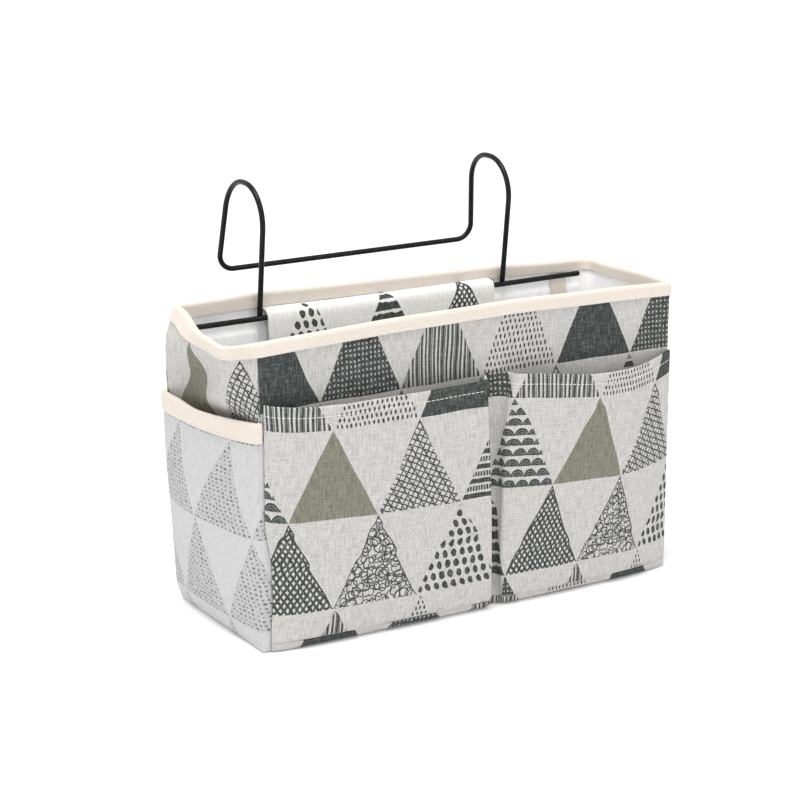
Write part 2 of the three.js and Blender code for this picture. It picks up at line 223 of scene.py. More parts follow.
walls = {
    "front": ["frontLeft", "frontRight"],
    "right_side": ["frontRight", "rightFold", "rearRight"],
    "rear": ["rearRight", "rearLeft"],
    "left_side": ["rearLeft", "leftFold", "frontLeft"],
}


def outlineAt(height):
    swung = clamp((height - bag["foldStart"]) / (bag["height"] - bag["foldStart"]))
    angle = math.radians(bag["foldSwing"]) * swung
    swing = Vector((math.sin(angle), -math.cos(angle)))
    frontLeft, frontRight = Vector((-halfWidth, -halfDepth)), Vector((halfWidth, -halfDepth))
    rearRight = Vector((halfWidth, halfDepth))
    rearLeft = Vector((-halfWidth - smoothOff(bag["bow"], height, 0.006), halfDepth))
    return [frontLeft, frontRight, rearRight + swing * bag["rightFold"], rearRight, rearLeft,
            frontLeft - swing * bag["leftFold"]]


def insetOutline(outline, insets):
    count = len(outline)
    normals = []
    for index, corner in enumerate(outline):
        edge = (outline[(index + 1) % count] - corner).normalized()
        normals.append(Vector((-edge.y, edge.x)))
    moved = []
    for index, corner in enumerate(outline):
        before, after = normals[index - 1], normals[index]
        insetBefore, insetAfter = insets[index - 1], insets[index]
        cross = before.x * after.y - before.y * after.x
        if abs(insetBefore - insetAfter) < 1e-9 or abs(cross) < 1e-6:
            moved.append(corner + (before + after) * insetAfter / (1 + before.dot(after)))
        else:
            moved.append(corner + Vector(((insetBefore * after.y - insetAfter * before.y) / cross,
                                          (insetAfter * before.x - insetBefore * after.x) / cross)))
    return moved


def bagCorners(height, boarded, soft):
    return insetOutline(outlineAt(height), [boarded, soft, soft, boarded, soft, soft])


def foldCut(height):
    return mix(0.004, bag["foldRounding"], ease(bag["foldStart"], bag["height"], height))


def wallLine(wall, height, boarded, soft):
    corners = bagCorners(height, boarded, soft)
    line = [corners[cornerNames.index(name)] for name in walls[wall]]
    if len(line) > 2:
        line = roundCorners(line, [0, foldCut(height) if wall == "left_side" else 0.003, 0])
    return line


def rimLine(height, inset):
    corners = bagCorners(height, inset, inset)
    cuts = [0.004, 0.0022, 0.003, 0.002, 0.003, foldCut(height)]
    return roundCorners(corners, cuts, closed=True)


def crumple(across, up, seed):
    return noise.noise(Vector((across, up, seed)))


def drape(point):
    # the soft give that layers lying on each other have in common
    x, y, z = point
    moved = point.copy()
    across = math.cos(math.pi * clamp(y / bag["depth"], -0.5, 0.5))
    high = ease(0.125, 0.155, z) * (1 - 0.4 * ease(0.172, 0.190, z))
    low = ease(0.01, 0.05, z)
    soft = crumple(y * 22, z * 16, 4.2)
    leftSide = ease(0.130, 0.146, -x) * across
    fold = math.sin(2 * math.pi * (z * 21 + y * 9 + 0.36))
    moved.x -= leftSide * (bag["sideWave"] * high * (fold + 0.5 * soft) + bag["sideSlack"] * (soft + 0.3) * low)
    rightSide = ease(0.130, 0.146, x) * across
    ripple = math.sin(2 * math.pi * (z * 12 + y * 5 + 0.4))
    moved.x += rightSide * (bag["rightWave"] * high * (ripple + soft) + bag["rightSlack"] * soft * low)
    loose = ease(bag["boardTop"], bag["height"], z) * ease(0.047, 0.0495, abs(y))
    moved.y += loose * bag["rimWave"] * math.sin(2 * math.pi * x / bag["rimWaveLength"] + 1 + y * 30)
    # the rim rises and sinks above the boards
    moved.z += ease(-0.03, 0.05, y) * ease(0.168, 0.19, z) * smoothOff(bag["rearLift"], x, 0.02)
    moved.z += ease(0.02, 0.05, -y) * ease(0.125, 0.180, z) * smoothOff(bag["frontLift"], x, 0.02)
    return moved


# Making cloth
def weldPoints(turnOut=False):
    # merges the points of the active piece that fall together
    bpy.ops.object.mode_set(mode="EDIT")
    bpy.ops.mesh.select_all(action="SELECT")
    bpy.ops.mesh.remove_doubles(threshold=1e-6)
    if turnOut:
        bpy.ops.mesh.normals_make_consistent(inside=False)
    bpy.ops.object.mode_set(mode="OBJECT")


def makeCloth(name, rows, flatRows, thickness, materials, looped=False):
    # rows run upwards and each row to the right, seen from the side that shows.
    # flatRows holds where each point lies on the flat cloth.
    across, up = len(rows[0]) - 1, len(rows) - 1
    bpy.ops.object.select_all(action="DESELECT")
    bpy.ops.mesh.primitive_grid_add(x_subdivisions=across, y_subdivisions=up, size=1)
    cloth = bpy.context.object
    cloth.name = cloth.data.name = name
    places = [(round((v.co.x + 0.5) * across), round((v.co.y + 0.5) * up)) for v in cloth.data.vertices]
    flat = cloth.data.uv_layers[0]
    flat.name = "flatCloth"
    for loop in cloth.data.loops:
        column, row = places[loop.vertex_index]
        flat.data[loop.index].uv = flatRows[row][column]
    for vertex, (column, row) in zip(cloth.data.vertices, places):
        vertex.co = rows[row][column]
    if looped:
        weldPoints()
    for material in materials:
        cloth.data.materials.append(material)
    addModifier(cloth, "SUBSURF", levels=1, render_levels=1)
    addModifier(cloth, "SOLIDIFY", thickness=thickness, offset=-1, use_even_offset=True,
                material_offset=len(materials) - 1, material_offset_rim=0)
    bpy.ops.object.shade_smooth_by_angle(angle=math.radians(50))
    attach(cloth, "bag")
    return cloth


def addModifier(piece, kind, **settings):
    modifier = piece.modifiers.new(kind.title(), kind)
    for setting, value in settings.items():
        setattr(modifier, setting, value)
    bpy.context.view_layer.objects.active = piece
    bpy.ops.object.modifier_apply(modifier=modifier.name)


def steps(low, high, spacing):
    count = max(1, round((high - low) / spacing))
    return [mix(low, high, index / count) for index in range(count + 1)]


def lengthsAlong(line):
    lengths = [0.0]
    for before, after in zip(line, line[1:]):
        lengths.append(lengths[-1] + (after - before).length)
    return lengths


def distancesAlong(places):
    # as lengthsAlong, for plain numbers
    lengths = [0.0]
    for before, after in zip(places, places[1:]):
        lengths.append(lengths[-1] + math.dist(before, after))
    return lengths


def overEdge(top, width, outer, inner, spacing, turnSteps=8):
    # heights and insets of a tape that is folded over an edge
    radius, middle = (inner + outer) / 2, (inner - outer) / 2
    rising = steps(top - width, top - radius, spacing)
    section = [(height, -outer) for height in rising]
    for step in range(1, turnSteps):
        angle = math.pi * step / turnSteps
        section.append((top - radius + radius * math.sin(angle), middle - radius * math.cos(angle)))
    return section + [(height, inner) for height in rising[::-1]]


def flatten(rows, upPlaces, anchor=0.5, shift=(0.0, 0.0), stretch=1.0):
    # lengths along each row, counted from the share of it that anchor gives
    flatRows = []
    for row, up in zip(rows, upPlaces):
        lengths = lengthsAlong(row)
        start = lengths[-1] * anchor
        flatRows.append([((length - start) * stretch + shift[0], up + shift[1]) for length in lengths])
    return flatRows


# Sums between sockets and plain numbers, all in one node tree
def sumsIn(tree):
    def feed(socket, value):
        if isinstance(value, bpy.types.NodeSocket):
            tree.links.new(value, socket)
        else:
            socket.default_value = value

    def addNode(kind, output, **inputs):
        node = tree.nodes.new(kind)
        for socketName, value in inputs.items():
            feed(node.inputs[socketName], value)
        return node, node.outputs[output]

    def calc(operation, *values):
        node = tree.nodes.new("ShaderNodeMath")
        node.operation = operation
        for socket, value in zip(node.inputs, values):
            feed(socket, value)
        return node.outputs[0]

    def named(operation):
        return lambda *values: calc(operation, *values)

    def times(*values):
        result = values[0]
        for value in values[1:]:
            result = calc("MULTIPLY", result, value)
        return result

    def scaled(place, amounts):
        node = tree.nodes.new("ShaderNodeVectorMath")
        node.operation = "MULTIPLY"
        feed(node.inputs[0], place)
        node.inputs[1].default_value = amounts
        return node.outputs[0]

    def apart(place):
        node = tree.nodes.new("ShaderNodeSeparateXYZ")
        tree.links.new(place, node.inputs[0])
        return node.outputs["X"], node.outputs["Y"]

    def cloud(place, scale, detail=0.0, dimensions="2D"):
        node, tone = addNode("ShaderNodeTexNoise", "Fac", Vector=place, Scale=scale, Detail=detail)
        node.noise_dimensions = dimensions
        return tone

    def cells(place, scale):
        node, distance = addNode("ShaderNodeTexVoronoi", "Distance", Vector=place, Scale=scale)
        node.voronoi_dimensions = "2D"
        return distance

    def spans(value, low, high):
        # 0 at low and below, 1 at high and above
        return addNode("ShaderNodeMapRange", "Result", **{"Value": value, "From Min": low, "From Max": high})[1]

    def blend(share, low, high):
        node = tree.nodes.new("ShaderNodeMix")
        node.data_type = "RGBA"
        feed(node.inputs["Factor"], share)
        feed(node.inputs[6], low)
        feed(node.inputs[7], high)
        return node.outputs[2]

    def flatPlace():
        node = tree.nodes.new("ShaderNodeUVMap")
        node.uv_map = "flatCloth"
        return node.outputs["UV"]

    def placed(group, place):
        node = tree.nodes.new("ShaderNodeGroup")
        node.node_tree = group
        tree.links.new(place, node.inputs["Flat"])
        return node.outputs

    def bump(shader, height, strength, distance):
        normal = addNode("ShaderNodeBump", "Normal", Strength=strength, Distance=distance, Height=height)[1]
        tree.links.new(normal, shader.inputs["Normal"])

    return SimpleNamespace(
        link=tree.links.new, calc=calc, times=times, scaled=scaled, apart=apart, cloud=cloud, cells=cells, spans=spans,
        blend=blend, flatPlace=flatPlace, placed=placed, bump=bump, plus=named("ADD"), minus=named("SUBTRACT"),
        less=named("LESS_THAN"), more=named("GREATER_THAN"), either=named("MAXIMUM"), sine=named("SINE"),
        size=named("ABSOLUTE"), root=named("SQRT"), floor=named("FLOOR"), fraction=named("FRACT"),
        remainder=named("FLOORED_MODULO"))


def startGroup(name, gives):
    # a node group that takes a place on the flat cloth and gives masks and values
    tree = bpy.data.node_groups.new(name, "ShaderNodeTree")
    tree.interface.new_socket("Flat", in_out="INPUT", socket_type="NodeSocketVector")
    for socketName in gives:
        tree.interface.new_socket(socketName, in_out="OUTPUT", socket_type="NodeSocketFloat")
    enter, leave = tree.nodes.new("NodeGroupInput"), tree.nodes.new("NodeGroupOutput")
    return tree, enter.outputs["Flat"], leave.inputs, sumsIn(tree)


# The weave that all canvas shows
weaveLook = {
    "slubWidth": 0.0010, "slubLength": 0.008, "thread": 0.00085, "grainScale": 1500,
    "uprightShare": 0.38, "levelShare": 0.22, "grainShare": 0.40, "threadRise": 0.35, "toneRise": 1.3,
}


def makeWeave():
    tree, flat, gives, sums = startGroup("plainWeave", ["Tone", "Height"])
    times, plus = sums.times, sums.plus
    narrow, long = 1 / weaveLook["slubWidth"], 1 / weaveLook["slubLength"]
    upright = sums.cloud(sums.scaled(flat, (narrow, long, 1)), 1, 1.5)
    level = sums.cloud(sums.scaled(flat, (long, narrow, 1)), 1, 1.0)
    grain = sums.cloud(flat, weaveLook["grainScale"], 1.0)
    tone = plus(times(upright, weaveLook["uprightShare"]), times(level, weaveLook["levelShare"]))
    tone = plus(tone, times(grain, weaveLook["grainShare"]))
    turns = 2 * math.pi / (2 * weaveLook["thread"])
    across, up = sums.apart(flat)
    over = times(sums.sine(times(across, turns)), sums.sine(times(up, turns)))
    sums.link(tone, gives["Tone"])
    sums.link(plus(times(over, weaveLook["threadRise"]), times(tone, weaveLook["toneRise"])), gives["Height"])
    return tree


# The print: rows of triangles, each with one of twelve fills, ten hatches and two plain colours
printLook = {
    "pitch": 0.0565, "rowPitch": 0.0572, "firstColumn": -0.1615, "firstRow": 0.0336,
    "wobble": 0.0023, "wobbleUp": 0.6, "shake": 1.1, "edgeShake": 0.014, "edge": 0.006, "outline": 0.045,
    "slowScales": (34, 29), "fineScales": (240, 210), "kindsInRow": 4, "kindsOfRow": 3, "oliveKind": 5,
}
# the repeats of the hatches in millimetres, but for the loops, which are scales of a cell pattern
hatchSize = {
    "lattice": 4.0, "loops": (152, 178, 134), "dotColumn": 5.8, "dotRow": 6.6, "bands": 7.6,
    "scallop": 9.2, "scallopRow": 6.6, "crossed": (3.5, 3.4, 6.1), "bars": 9.6, "ticks": 1.9,
    "meshColumn": 2.9, "meshRow": 3.2, "stripes": (3.1, 2.3), "dashColumn": 3.0, "dashRow": 3.8,
}


def makePrint():
    tree, flat, gives, sums = startGroup("trianglePrint", ["Ink", "Olive", "Mask"])
    times, plus, minus, less, either = sums.times, sums.plus, sums.minus, sums.less, sums.either

    def phase(value, repeat):
        # from -0.5 to 0.5 over each repeat
        return minus(sums.fraction(times(value, 1 / repeat)), 0.5)

    def near(value, limit):
        return less(sums.size(value), limit)

    def beyond(value, limit):
        return sums.more(sums.size(value), limit)

    def oval(x, halfWide, y, halfHigh):
        return less(plus(times(x, x, 1 / halfWide ** 2), times(y, y, 1 / halfHigh ** 2)), 1)

    def stepped(place, rowHeight, shift):
        # each row starts shifted from the one below it
        return plus(place, times(sums.floor(times(steadyY, 1 / rowHeight)), shift))

    across, up = sums.apart(flat)
    scale, otherScale = printLook["slowScales"]
    slow = minus(sums.cloud(flat, scale), 0.5)
    slowOther = minus(sums.cloud(sums.scaled(flat, (1, 1.3, 1)), otherScale), 0.5)
    scale, otherScale = printLook["fineScales"]
    fine = minus(sums.cloud(flat, scale, 1.0), 0.5)
    fineOther = minus(sums.cloud(sums.scaled(flat, (1.2, 1, 1)), otherScale, 1.0), 0.5)
    across = plus(across, times(slow, printLook["wobble"]))
    up = plus(up, times(slowOther, printLook["wobble"] * printLook["wobbleUp"]))
    rowPlace = times(plus(up, -printLook["firstRow"]), 1 / printLook["rowPitch"])
    row, climb = sums.floor(rowPlace), sums.fraction(rowPlace)
    columnPlace = plus(times(plus(across, -printLook["firstColumn"]), 1 / printLook["pitch"]),
                       times(sums.remainder(row, 2), -0.5))
    column, aside = sums.floor(columnPlace), minus(sums.fraction(columnPlace), 0.5)
    # how far a point lies inside the triangle's slanting sides, 0 at the side
    within = minus(minus(1, climb), times(sums.size(aside), 2))
    inside = sums.more(plus(within, times(fine, printLook["edgeShake"])), printLook["edge"])
    rowKind = sums.remainder(row, printLook["kindsOfRow"])
    kindInRow = sums.remainder(plus(plus(column, rowKind), 2), printLook["kindsInRow"])
    kind = plus(times(rowKind, printLook["kindsInRow"]), kindInRow)
    # millimetres from the middle of the triangle's base, steady and with the hand's shake
    steadyX, steadyY = times(aside, printLook["pitch"] * 1000), times(climb, printLook["rowPitch"] * 1000)
    x, y = plus(steadyX, times(fine, printLook["shake"])), plus(steadyY, times(fineOther, printLook["shake"]))

    lattice = either(beyond(phase(plus(x, times(y, 0.70)), hatchSize["lattice"]), 0.27),
                     beyond(phase(plus(x, times(y, -0.70)), hatchSize["lattice"]), 0.27))
    lattice = either(lattice, less(within, printLook["outline"]))

    wide, middling, large = hatchSize["loops"]
    loops = either(near(plus(sums.cells(flat, wide), -0.43), 0.062),
                   near(plus(sums.cells(sums.scaled(flat, (1.1, 0.93, 1)), middling), -0.40), 0.066))
    loops = either(loops, near(plus(sums.cells(sums.scaled(flat, (0.94, 1.08, 1)), large), -0.38), 0.045))
    loops = either(loops, near(plus(within, -0.02), 0.014))

    apartX, apartY = hatchSize["dotColumn"], hatchSize["dotRow"]
    tilted = plus(stepped(x, apartY, 2.1), times(phase(y, apartY), 0.9))
    dots = oval(times(phase(tilted, apartX), apartX), 1.85, times(phase(y, apartY), apartY), 2.6)

    bands = less(plus(phase(y, hatchSize["bands"]), times(fine, 0.35)), 0.22)

    swing = phase(plus(stepped(steadyX, hatchSize["scallopRow"], 4.1), times(fine, 0.8)), hatchSize["scallop"])
    rise = plus(phase(plus(steadyY, times(fineOther, 0.5)), hatchSize["scallopRow"]), 0.5)
    hump = sums.root(plus(either(minus(1, times(swing, swing, 4)), 0), 0.04))
    ring = sums.root(plus(times(swing, swing, 4), times(rise, rise, 2.6)))
    scallops = times(less(rise, times(hump, 0.72)), minus(1, times(near(plus(ring, -0.78), 0.04), 0.36)))
    scallops = times(scallops, minus(1, times(near(plus(ring, -0.42), 0.05), 0.22)))

    first, second, third = hatchSize["crossed"]
    crossed = either(near(phase(plus(times(x, 0.88), times(y, -0.47)), first), 0.125),
                     near(phase(plus(times(x, 0.42), times(y, 0.91)), second), 0.125))
    crossed = either(crossed, near(phase(plus(times(x, 0.85), times(y, 0.5)), third), 0.065))

    bar = phase(plus(steadyY, times(fineOther, 0.8)), hatchSize["bars"])
    tick = near(phase(x, hatchSize["ticks"]), 0.36)
    barred = either(near(plus(bar, 0.28), 0.17), times(near(plus(bar, -0.22), 0.17), tick))

    gaps = times(near(phase(x, hatchSize["meshColumn"]), 0.20),
                 near(phase(plus(y, times(fine, 1.5)), hatchSize["meshRow"]), 0.22))
    mesh = minus(1, times(gaps, 0.70))

    lean = plus(steadyX, times(slow, 0.8))
    first, second = hatchSize["stripes"]
    stripes = either(near(phase(lean, first), 0.21), times(near(phase(plus(lean, 0.7), second), 0.2), 0.8))

    apartX, apartY = hatchSize["dashColumn"], hatchSize["dashRow"]
    slid = phase(stepped(x, apartY, 1.1), apartX)
    dashes = oval(times(slid, apartX), 0.68, times(phase(y, apartY), apartY), 1.4)

    plain = 1.0
    fills = [lattice, loops, dots, bands, scallops, plain, crossed, barred, plain, mesh, stripes, dashes]
    ink = 0.0
    for number, fill in enumerate(fills):
        ink = plus(ink, times(sums.calc("COMPARE", kind, number, 0.4), fill))
    sums.link(times(ink, inside), gives["Ink"])
    sums.link(sums.calc("COMPARE", kind, printLook["oliveKind"], 0.4), gives["Olive"])
    sums.link(inside, gives["Mask"])
    return tree


# Materials
colours = {
    "ground": (0.552, 0.539, 0.521, 1), "groundShade": (0.372, 0.362, 0.345, 1),
    # the sleeve's ground is the canvas ground painted paler, painted light for the bounce off the white lining
    "sleevePaintedLightGround": (0.790, 0.774, 0.750, 1), "sleevePaintedLightGroundShade": (0.620, 0.605, 0.580, 1),
    "charcoal": (0.034, 0.040, 0.038, 1), "charcoalWorn": (0.150, 0.160, 0.153, 1),
    "olive": (0.132, 0.126, 0.099, 1), "oliveWorn": (0.236, 0.227, 0.184, 1),
    "reverse": (0.550, 0.550, 0.549, 1), "reverseShade": (0.448, 0.449, 0.451, 1), "ghost": (0.085, 0.090, 0.096, 1),
    "tape": (0.720, 0.660, 0.588, 1), "tapeShade": (0.590, 0.525, 0.450, 1),
    # the lining's shade colour is painted shade in the hollows of its creases, on a lining that is white throughout
    "lining": (0.950, 0.950, 0.945, 1), "liningShade": (0.875, 0.878, 0.876, 1),
    "board": (0.42, 0.36, 0.27, 1), "boardShade": (0.33, 0.28, 0.21, 1),
    "wire": (0.010, 0.010, 0.011, 1), "wireShade": (0.004, 0.004, 0.005, 1),
    "thread": (0.84, 0.81, 0.75, 1), "threadShade": (0.66, 0.62, 0.55, 1),
}
# the dots and the veil of ink that have come through to the reverse
ghostLook = {"dotAcross": 0.0042, "dotUp": 0.0027, "lean": 500, "dots": 0.66, "veil": 0.32}
# the ridges of the twill run at a slant
twillLook = {"ridge": 0.0021, "slant": 1.25}
weave, trianglePrint = makeWeave(), makePrint()


def startMaterial(name, roughness, specular=0.2):
    material = bpy.data.materials.new(name)
    material.use_nodes = True
    shader = material.node_tree.nodes["Principled BSDF"]
    shader.inputs["Roughness"].default_value = roughness
    shader.inputs["Specular IOR Level"].default_value = specular
    return material, shader, sumsIn(material.node_tree)


def showTone(shader, sums, tone, low, high, colour, strength, distance):
    # the colour goes from its shade to full with the tone, and the surface rises with it
    shown = sums.blend(sums.spans(tone, low, high), colours[colour + "Shade"], colours[colour])
    sums.link(shown, shader.inputs["Base Color"])
    sums.bump(shader, tone, strength, distance)


def makePrintedCanvas(name, groundName):
    material, shader, sums = startMaterial(name, 0.88)
    place = sums.flatPlace()
    woven, printed = sums.placed(weave, place), sums.placed(trianglePrint, place)
    bright, worn = sums.spans(woven["Tone"], 0.36, 0.58), sums.spans(woven["Tone"], 0.47, 0.70)
    ground = sums.blend(bright, colours[groundName + "Shade"], colours[groundName])
    charcoal = sums.blend(worn, colours["charcoal"], colours["charcoalWorn"])
    olive = sums.blend(bright, colours["olive"], colours["oliveWorn"])
    dye = sums.blend(printed["Olive"], charcoal, olive)
    sums.link(sums.blend(printed["Ink"], ground, dye), shader.inputs["Base Color"])
    sums.bump(shader, woven["Height"], 0.35, 0.0003)
    return material


def makeCanvasReverse():
    material, shader, sums = startMaterial("canvasReverse", 0.85)
    times, plus, cloud = sums.times, sums.plus, sums.cloud
    place = sums.flatPlace()
    woven, printed = sums.placed(weave, place), sums.placed(trianglePrint, place)
    ground = sums.blend(sums.spans(woven["Tone"], 0.36, 0.58), colours["reverseShade"], colours["reverse"])
    flatX, flatY = sums.apart(place)
    turn = cloud(place, 120)
    across = plus(times(flatX, 2 * math.pi / ghostLook["dotAcross"]), times(turn, 4.5))
    across = plus(across, times(flatY, ghostLook["lean"]))
    up = plus(times(flatY, 2 * math.pi / ghostLook["dotUp"]), times(turn, 3.5))
    spot = plus(sums.sine(across), sums.sine(up))
    spot = sums.more(plus(spot, times(cloud(place, 260), 2.4)), 2.35)
    veil = times(cloud(place, 700, 1.0), ghostLook["veil"])
    speckled = times(printed["Mask"], plus(times(spot, ghostLook["dots"]), veil))
    sums.link(sums.blend(speckled, ground, colours["ghost"]), shader.inputs["Base Color"])
    sums.bump(shader, woven["Height"], 0.3, 0.0003)
    return material


def makeTwillTape():
    material, shader, sums = startMaterial("twillTape", 0.85)
    times, plus = sums.times, sums.plus
    place = sums.flatPlace()
    flatX, flatY = sums.apart(place)
    along = plus(flatX, times(flatY, twillLook["slant"]))
    ridge = plus(times(sums.sine(times(along, 2 * math.pi / twillLook["ridge"])), 0.5), 0.5)
    grain = sums.cloud(sums.scaled(place, (1, 1.6, 1)), 900, 1.5)
    tone = plus(times(ridge, 0.32), times(grain, 0.8))
    showTone(shader, sums, tone, 0.2, 0.72, "tape", 0.5, 0.0003)
    return material


def makeCoatedLining():
    material, shader, sums = startMaterial("coatedLining", 0.34, 0.5)
    place = sums.flatPlace()
    # the colour darkens into the hollows of the creases as the bump sinks there: painted shade
    crease = sums.cloud(sums.scaled(place, (1, 0.32, 1)), 95, 2.0)
    fine = sums.cloud(sums.scaled(place, (1, 0.2, 1)), 420, 1.0)
    tone = sums.plus(sums.times(crease, 0.7), sums.times(fine, 0.3))
    showTone(shader, sums, tone, 0.35, 0.6, "lining", 0.7, 0.0022)
    return material


def makeSpeckled(name, colour, scale, roughness, strength, distance):
    # for board, thread and paint, which have no flat map
    material, shader, sums = startMaterial(name, roughness)
    place = material.node_tree.nodes.new("ShaderNodeTexCoord").outputs["Object"]
    showTone(shader, sums, sums.cloud(place, scale, 2, "3D"), 0.35, 0.65, colour, strength, distance)
    return material


printedCanvas, canvasReverse = makePrintedCanvas("printedCanvas", "ground"), makeCanvasReverse()
# the sleeve is the same printed canvas with a paler ground: painted light that stands in for the bounce from the white
# lining around it
sleevePaintedLightCanvas = makePrintedCanvas("sleevePaintedLightCanvas", "sleevePaintedLightGround")
twillTape, coatedLining = makeTwillTape(), makeCoatedLining()
greyboard = makeSpeckled("greyboard", "board", 900, 0.9, 0.3, 0.0002)
blackWire = makeSpeckled("blackWire", "wire", 350, 0.26, 0.06, 0.0001)
sewingThread = makeSpeckled("sewingThread", "thread", 2500, 0.8, 0.4, 0.0001)
print("materials are made")


# Outer canvas
canvas = {"spacing": 0.0024, "seamPull": 0.8, "rollDepth": 0.0005, "rollReach": 0.0016, "top": 0.1888, "bottom": 0.0013}
baseCloth = {"columns": 60, "rows": 24, "height": 0.00005, "rollDepth": 0.0009, "rollReach": 0.0015}


def wallCloth(name, wall, inset, heights, facing, thickness, materials,
              anchor=0.5, shift=(0.0, 0.0), stretch=1.0):
    # facing 1 shows the outside of a wall, -1 its inside. inset gives (boarded, soft) insets at a height.
    longest = lengthsAlong(wallLine(wall, 0.10, 0, 0))[-1]
    count = round(longest / canvas["spacing"])
    rows = []
    for height in heights:
        boarded, soft = inset(height)
        line = spread(wallLine(wall, height, boarded, soft), count, pull=canvas["seamPull"])
        lengths = lengthsAlong(line)
        inwards = []
        for index, (point, aside) in enumerate(zip(line, sidestep(line, 1))):
            fromSeam = min(lengths[index], lengths[-1] - lengths[index])
            roll = canvas["rollDepth"] * math.exp(-(fromSeam / canvas["rollReach"]) ** 2)
            roll = roll if facing > 0 else 0
            inwards.append(point + (aside - point) * roll)
        row = [drape(Vector((point.x, point.y, height))) for point in inwards]
        rows.append(row if facing > 0 else row[::-1])
    return makeCloth(name, rows, flatten(rows, heights, anchor, shift, stretch), thickness, materials)


# the print on each wall: the share of the row that it is counted from, the shift and the stretch
printPlaces = {
    "front": (0.5, (0.0032, 0.0), 1.025), "left_side": (1.0, (0.0745, -0.0332), 1.0),
    "right_side": (0.0, (0.1535, 0.0), 1.0), "rear": (0.5, (0.03, 0.004), 1.0),
}
panelHeights = steps(canvas["bottom"], canvas["top"], canvas["spacing"])
for wall in walls:
    panel = wallCloth(wall + "_canvas", wall, lambda height: (0, 0), panelHeights, 1, bag["canvas"],
                      [printedCanvas, canvasReverse], *printPlaces[wall])
    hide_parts(wall + "_panel")


def makeBaseCanvas():
    rows = []
    pull = canvas["seamPull"]
    acrossSteps = spread([Vector((-halfWidth, 0)), Vector((halfWidth, 0))], baseCloth["columns"], pull)
    upSteps = spread([Vector((halfDepth, 0)), Vector((-halfDepth, 0))], baseCloth["rows"], pull)
    for upPlace in upSteps:
        row = []
        for acrossPlace in acrossSteps:
            fromEdge = min(halfWidth - abs(acrossPlace.x), halfDepth - abs(upPlace.x))
            lift = baseCloth["rollDepth"] * math.exp(-(fromEdge / baseCloth["rollReach"]) ** 2)
            row.append(Vector((acrossPlace.x, upPlace.x, baseCloth["height"] + lift)))
        rows.append(row)
    base = makeCloth("base_canvas", rows, flatten(rows, [-place.x for place in upSteps]), bag["canvas"],
                     [printedCanvas, canvasReverse])
    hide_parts("base_panel")


makeBaseCanvas()
print("outer canvas is made")

# Lining
lining = {
    "bottom": 0.0050, "top": 0.1888, "jogBottom": 0.1663, "jogTop": 0.1703, "aboveJog": 0.1673,
    "spacing": 0.003, "topSpacing": 0.0018, "baseTop": 0.0047, "baseSpacing": 0.006, "baseCrumple": 0.0005,
}


def liningInset(height):
    share = ease(lining["jogBottom"], lining["jogTop"], height)
    return (mix(boardedInset, layerInset, share) + bag["lining"], layerInset + bag["lining"])


liningHeights = steps(lining["bottom"], lining["jogBottom"], lining["spacing"])
liningHeights += steps(lining["aboveJog"], lining["top"], lining["topSpacing"])
for wall in walls:
    sheet = wallCloth(wall + "_coated", wall, liningInset, liningHeights, -1, bag["lining"], [coatedLining])
    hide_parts(wall + "_lining")


def makeBaseLining():
    acrossSteps = steps(-halfWidth + layerInset, halfWidth - layerInset, lining["baseSpacing"])
    edge = halfDepth - boardedInset
    upSteps = steps(-edge, edge, lining["baseSpacing"])
    rows = []
    for y in upSteps:
        lifts = [lining["baseCrumple"] * crumple(x * 18, y * 18, 1.5) ** 2 for x in acrossSteps]
        rows.append([Vector((x, y, lining["baseTop"] + lift)) for x, lift in zip(acrossSteps, lifts)])
    base = makeCloth("base_coated", rows, flatten(rows, upSteps), bag["lining"], [coatedLining])
    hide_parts("base_lining")


makeBaseLining()
print("lining is made")


# Rim binding
binding = {"width": 0.0087, "outer": 0.0012, "inner": 0.0033, "length": 0.86, "spacing": 0.0022, "rise": 0.0013}


def makeRimBinding():
    section = overEdge(bag["height"], binding["width"], binding["outer"], binding["inner"], binding["rise"])
    count = round(binding["length"] / binding["spacing"])
    rows = []
    for height, inset in section:
        line = spread(rimLine(height, inset), count)
        line[-1] = line[0].copy()
        rows.append([drape(Vector((point.x, point.y, height))) for point in line])
    flatUp = distancesAlong(section)
    tape = makeCloth("rim_tape", rows, flatten(rows, flatUp, 0), bag["tape"], [twillTape], looped=True)
    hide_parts("rim_binding")


makeRimBinding()
print("rim is bound")

